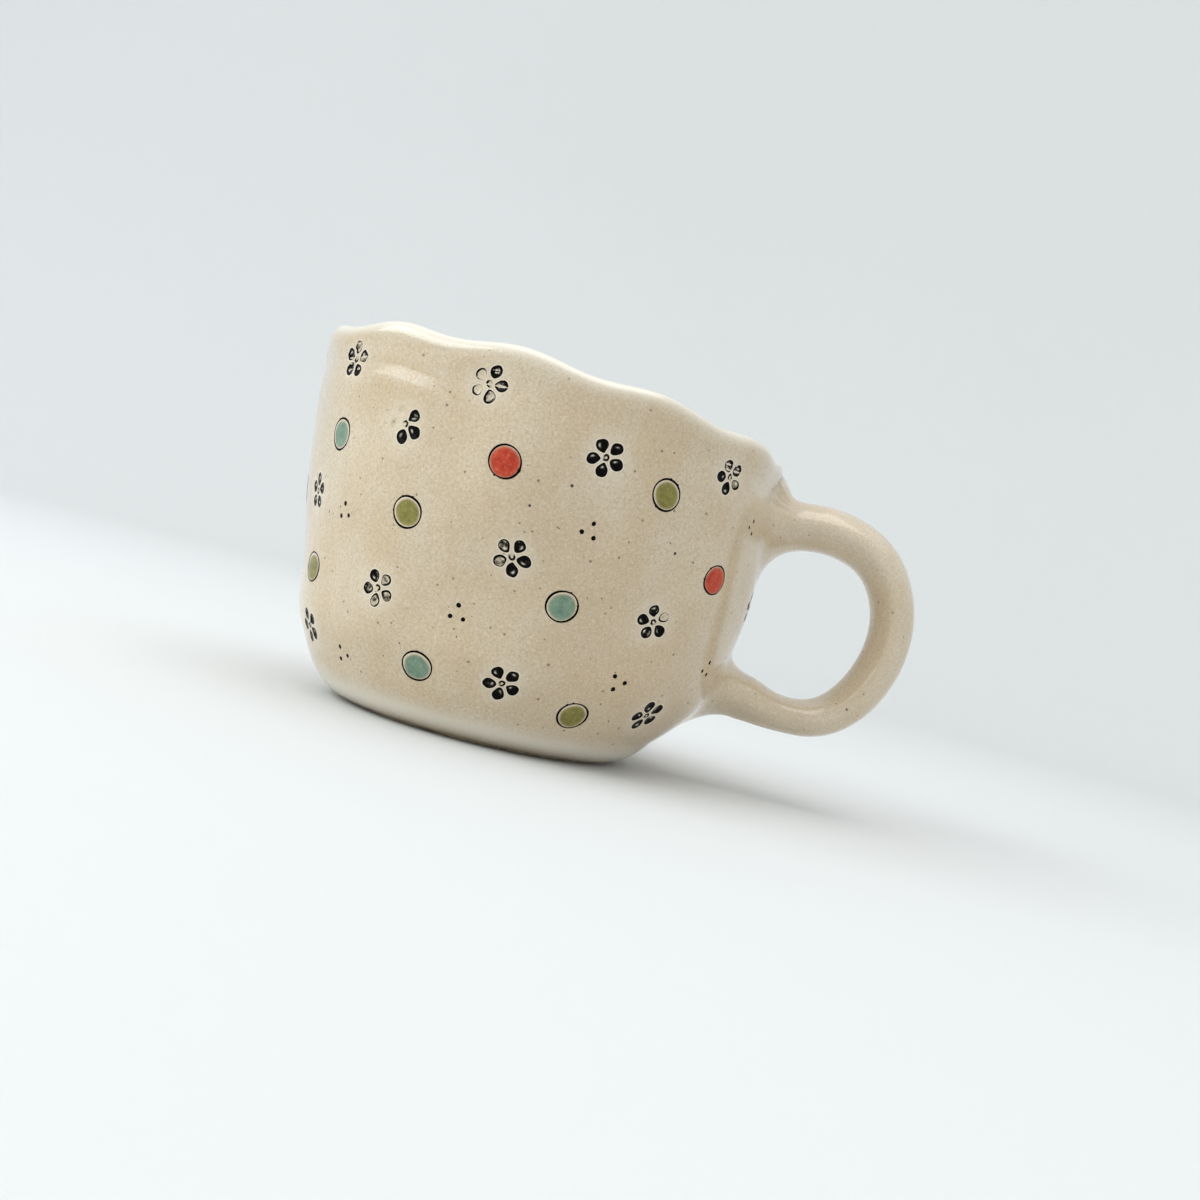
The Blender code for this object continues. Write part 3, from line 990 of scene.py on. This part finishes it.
def add_camera():
    data = bpy.data.cameras.new("camera")
    data.lens = LENS
    data.sensor_width = 36.0
    data.clip_start, data.clip_end = 0.01, 20.0
    camera = bpy.data.objects.new("camera", data)
    bpy.context.scene.collection.objects.link(camera)
    bpy.context.scene.camera = camera
    target = Vector((0, 0, CAMERA_TARGET))
    place = target + CAMERA_DISTANCE * Vector(
        (0, -math.cos(CAMERA_DIP), -math.sin(CAMERA_DIP))
    )
    forward = (target - place).normalized()
    right = Vector((1, 0, 0))
    up = right.cross(forward)
    rolled_right = right * math.cos(CAMERA_ROLL) + up * math.sin(CAMERA_ROLL)
    rolled_up = up * math.cos(CAMERA_ROLL) - right * math.sin(CAMERA_ROLL)
    aim = target + rolled_right * AIM_RIGHT - rolled_up * AIM_DOWN
    back = (place - aim).normalized()
    side = rolled_up.cross(back).normalized()
    upright = back.cross(side)
    turn = Matrix((side, upright, back)).transposed().to_4x4()
    camera.matrix_world = Matrix.Translation(place) @ turn


def add_stage():
    """A round studio cove: floor, curve and wall in one pale surface."""
    columns = 96
    theta = np.linspace(0, TAU, columns, endpoint=False)
    flat = COVE_RADIUS - COVE_BEND
    profile = [(0.004, 0.0), (0.1, 0.0), (0.3, 0.0), (flat, 0.0)]
    for a in np.linspace(0.1, math.pi / 2, 14):
        profile.append((flat + COVE_BEND * math.sin(a), COVE_BEND * (1 - math.cos(a))))
    profile.append((COVE_RADIUS, COVE_HEIGHT))
    stretch = np.where(np.cos(theta) < 0, COVE_STRETCH, 1.0)
    points = []
    for r, z in profile:
        x, y = r * np.cos(theta) * stretch, r * np.sin(theta)
        points += np.stack([x, y, np.full(columns, z - 0.05 * MM)], -1).tolist()
    mesh = bpy.data.meshes.new("floor")
    faces = grid_faces(len(profile), columns, flip=True) + [list(range(columns))]
    mesh.from_pydata(points, [], faces)
    mesh.shade_smooth()
    floor = bpy.data.objects.new("floor", mesh)
    bpy.context.scene.collection.objects.link(floor)
    mesh.materials.append(make_plain("studio_paper", PAPER, 0.9))


def add_light(name, place, size, power, colour):
    data = bpy.data.lights.new(name, "AREA")
    data.shape = "RECTANGLE"
    data.size, data.size_y = size
    data.energy = power
    data.color = colour
    lamp = bpy.data.objects.new(name, data)
    bpy.context.scene.collection.objects.link(lamp)
    lamp.location = place
    towards = LIT_POINT - Vector(place)
    lamp.rotation_euler = towards.to_track_quat("-Z", "Y").to_euler()


def add_world():
    world = bpy.data.worlds.new("studio")
    bpy.context.scene.world = world
    world.use_nodes = True
    background = world.node_tree.nodes["Background"]
    background.inputs["Color"].default_value = ROOM_COLOUR
    background.inputs["Strength"].default_value = ROOM_STRENGTH


def make_disc_ground():
    """The glaze a little paler, as it is under a painted disc."""
    material, tree, shader, position = new_material("disc_ground", 0.14)
    colour, _grain = glaze(tree, position)
    tree.links.new(mix(tree, 0.22, colour, PALE_AND_HIGHLIGHT), shader.inputs["Base Color"])
    return material


def press_stamps(flowers):
    """Notes where each flower's petals dent the wall, and where the colour is paler round it: partly
    the glaze thinning, partly a painted highlight.
    """
    for (azimuth, height, turn, _inks), _turn in flowers:
        radius = float(wall_radius(height * MM))
        for _angle, u, v in petal_centres(turn):
            theta, s = local(azimuth, height, u, v)
            DENTS.append((float(theta), float(s), radius))
        theta, s = local(azimuth, height, 0.0, 0.0)
        HALOS.append((float(theta), float(s), radius))


def add_pattern(flowers):
    ink = make_ink()
    ground = make_disc_ground()
    paints = {
        name: make_paint(f"{name}_underglaze", *tones) for name, tones in PAINTS.items()
    }
    for i, ((azimuth, height, turn, inks), _turn) in enumerate(flowers, 1):
        add_flower(f"flower_{i:02d}", azimuth, height, turn, inks, ink)
    for i, ((azimuth, height, colour), turn) in enumerate(scattered(DISCS), 1):
        if turn:
            colour = DISC_COLOURS[(DISC_COLOURS.index(colour) + turn) % len(DISC_COLOURS)]
        add_disc(f"disc_{i:02d}", azimuth, height, colour, paints, ground, ink)
    for i, ((azimuth, height, lean), _turn) in enumerate(scattered(DOTS), 1):
        add_dots(f"dots_{i:02d}", azimuth, height, lean, ink)
    add_flecks(ink)


def main():
    flowers = scattered(FLOWERS)
    press_stamps(flowers)
    add_outside(make_glaze("cream_glaze_outside"))
    add_inside(make_glaze("cream_glaze_inside"))
    add_foot(make_bare_clay())
    add_handle(make_glaze("cream_glaze_handle"))
    add_pattern(flowers)

    bpy.context.scene.view_settings.view_transform = "Standard"
    add_camera()
    add_stage()
    add_world()
    for name, settings in LAMPS.items():
        add_light(name, *settings)


main()
